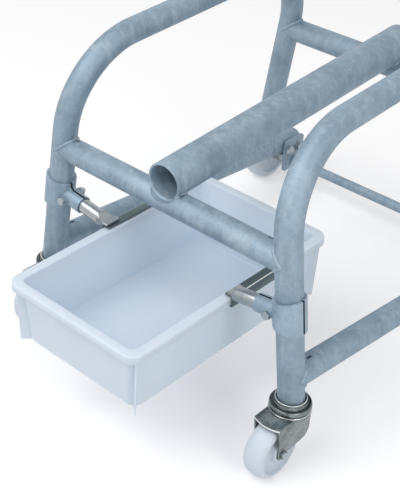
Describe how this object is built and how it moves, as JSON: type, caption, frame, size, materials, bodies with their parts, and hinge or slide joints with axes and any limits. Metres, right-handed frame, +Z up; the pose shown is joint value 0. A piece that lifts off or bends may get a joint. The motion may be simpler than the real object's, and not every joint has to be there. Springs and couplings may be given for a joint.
{
  "type": "drum dolly",
  "caption": "Tubular drum dolly with a lever socket, swivel castors, rear wheels on an axle and a drip tray on hanging rails.",
  "frame": {"origin": "on the floor under the middle of the object's box", "axes": "+Z up from the floor, +Y to the rear wheels along the drum, +X to the right seen from the front"},
  "size_m": [0.7026, 0.952, 0.5684],
  "materials": {
    "galvanised_steel": "matt hot-dip galvanised",
    "zinc_plate": "zinc plated",
    "wheel_nylon": "moulded natural nylon",
    "tray_plastic": "moulded natural polyethylene"
  },
  "bodies": {
    "frame": {"front_cross_tube": "galvanised_steel", "rear_cross_tube": "galvanised_steel", "lever_socket": "galvanised_steel", "rear_axle": "galvanised_steel", "side_hoop_right": "galvanised_steel", "side_hoop_left": "galvanised_steel", "bottom_tube_right": "galvanised_steel", "bottom_tube_left": "galvanised_steel", "axle_plate_right": "galvanised_steel", "axle_plate_left": "galvanised_steel", "axle_screw_front_right": "zinc_plate", "axle_screw_front_left": "zinc_plate", "axle_screw_rear_right": "zinc_plate", "axle_screw_rear_left": "zinc_plate", "axle_spacer_right": "zinc_plate", "axle_spacer_left": "zinc_plate", "axle_washer_right": "zinc_plate", "axle_washer_left": "zinc_plate", "axle_pin_right": "zinc_plate", "axle_pin_left": "zinc_plate", "leg_plug_right": "zinc_plate", "leg_plug_left": "zinc_plate", "castor_cup_right": "zinc_plate", "castor_cup_left": "zinc_plate", "castor_race_right": "zinc_plate", "castor_race_left": "zinc_plate", "castor_kingpin_right": "zinc_plate", "castor_kingpin_left": "zinc_plate"},
    "tray_carrier": {"arm_tube_right": "zinc_plate", "arm_tube_left": "zinc_plate", "tray_rail_right": "zinc_plate", "tray_rail_left": "zinc_plate"},
    "tray": {"drip_tray": "tray_plastic"},
    "clamp_right": {"clamp_front_right": "galvanised_steel", "clamp_rear_right": "galvanised_steel", "clamp_bolt_right": "zinc_plate", "clamp_nut_right": "zinc_plate"},
    "castor_fork_right": {"castor_fork_right": "zinc_plate", "castor_axle_bolt_right": "zinc_plate", "castor_axle_nut_right": "zinc_plate"},
    "castor_wheel_right": {"castor_wheel_right": "wheel_nylon"},
    "rear_wheel_right": {"rear_wheel_right": "wheel_nylon"},
    "clamp_left": {"clamp_front_left": "galvanised_steel", "clamp_rear_left": "galvanised_steel", "clamp_bolt_left": "zinc_plate", "clamp_nut_left": "zinc_plate"},
    "castor_fork_left": {"castor_fork_left": "zinc_plate", "castor_axle_bolt_left": "zinc_plate", "castor_axle_nut_left": "zinc_plate"},
    "castor_wheel_left": {"castor_wheel_left": "wheel_nylon"},
    "rear_wheel_left": {"rear_wheel_left": "wheel_nylon"}
  },
  "joints": [
    {"name": "tray_height", "type": "slide", "parent": "frame", "child": "tray_carrier", "axis": [0, 0, 1], "range_m": [-0.05, 0.03]},
    {"name": "clamp_height_right", "type": "slide", "parent": "frame", "child": "clamp_right", "axis": [-0.134, 0, 0.991], "range_m": [-0.04955, 0.02973]},
    {"name": "clamp_height_left", "type": "slide", "parent": "frame", "child": "clamp_left", "axis": [0.134, 0, 0.991], "range_m": [-0.04955, 0.02973]},
    {"name": "tray_slide", "type": "slide", "parent": "tray_carrier", "child": "tray", "axis": [0, 1, 0], "range_m": [-0.078, 0.192]},
    {"name": "castor_swivel_right", "type": "hinge", "parent": "frame", "child": "castor_fork_right", "pos_m": [0.26709, -0.259, 0.108], "axis": [0, 0, 1], "continuous": true},
    {"name": "castor_roll_right", "type": "hinge", "parent": "castor_fork_right", "child": "castor_wheel_right", "pos_m": [0.26709, -0.299, 0.05], "axis": [1, 0, 0], "continuous": true},
    {"name": "castor_swivel_left", "type": "hinge", "parent": "frame", "child": "castor_fork_left", "pos_m": [-0.26709, -0.259, 0.108], "axis": [0, 0, 1], "continuous": true},
    {"name": "castor_roll_left", "type": "hinge", "parent": "castor_fork_left", "child": "castor_wheel_left", "pos_m": [-0.26709, -0.299, 0.05], "axis": [1, 0, 0], "continuous": true},
    {"name": "rear_roll_right", "type": "hinge", "parent": "frame", "child": "rear_wheel_right", "pos_m": [0.315, 0.4135, 0.0625], "axis": [1, 0, 0], "continuous": true},
    {"name": "rear_roll_left", "type": "hinge", "parent": "frame", "child": "rear_wheel_left", "pos_m": [-0.315, 0.4135, 0.0625], "axis": [1, 0, 0], "continuous": true}
  ],
  "couplings": [
    {"joint": "clamp_height_right", "follows": "tray_height", "ratio": 0.99098},
    {"joint": "clamp_height_left", "follows": "tray_height", "ratio": 0.99098}
  ]
}
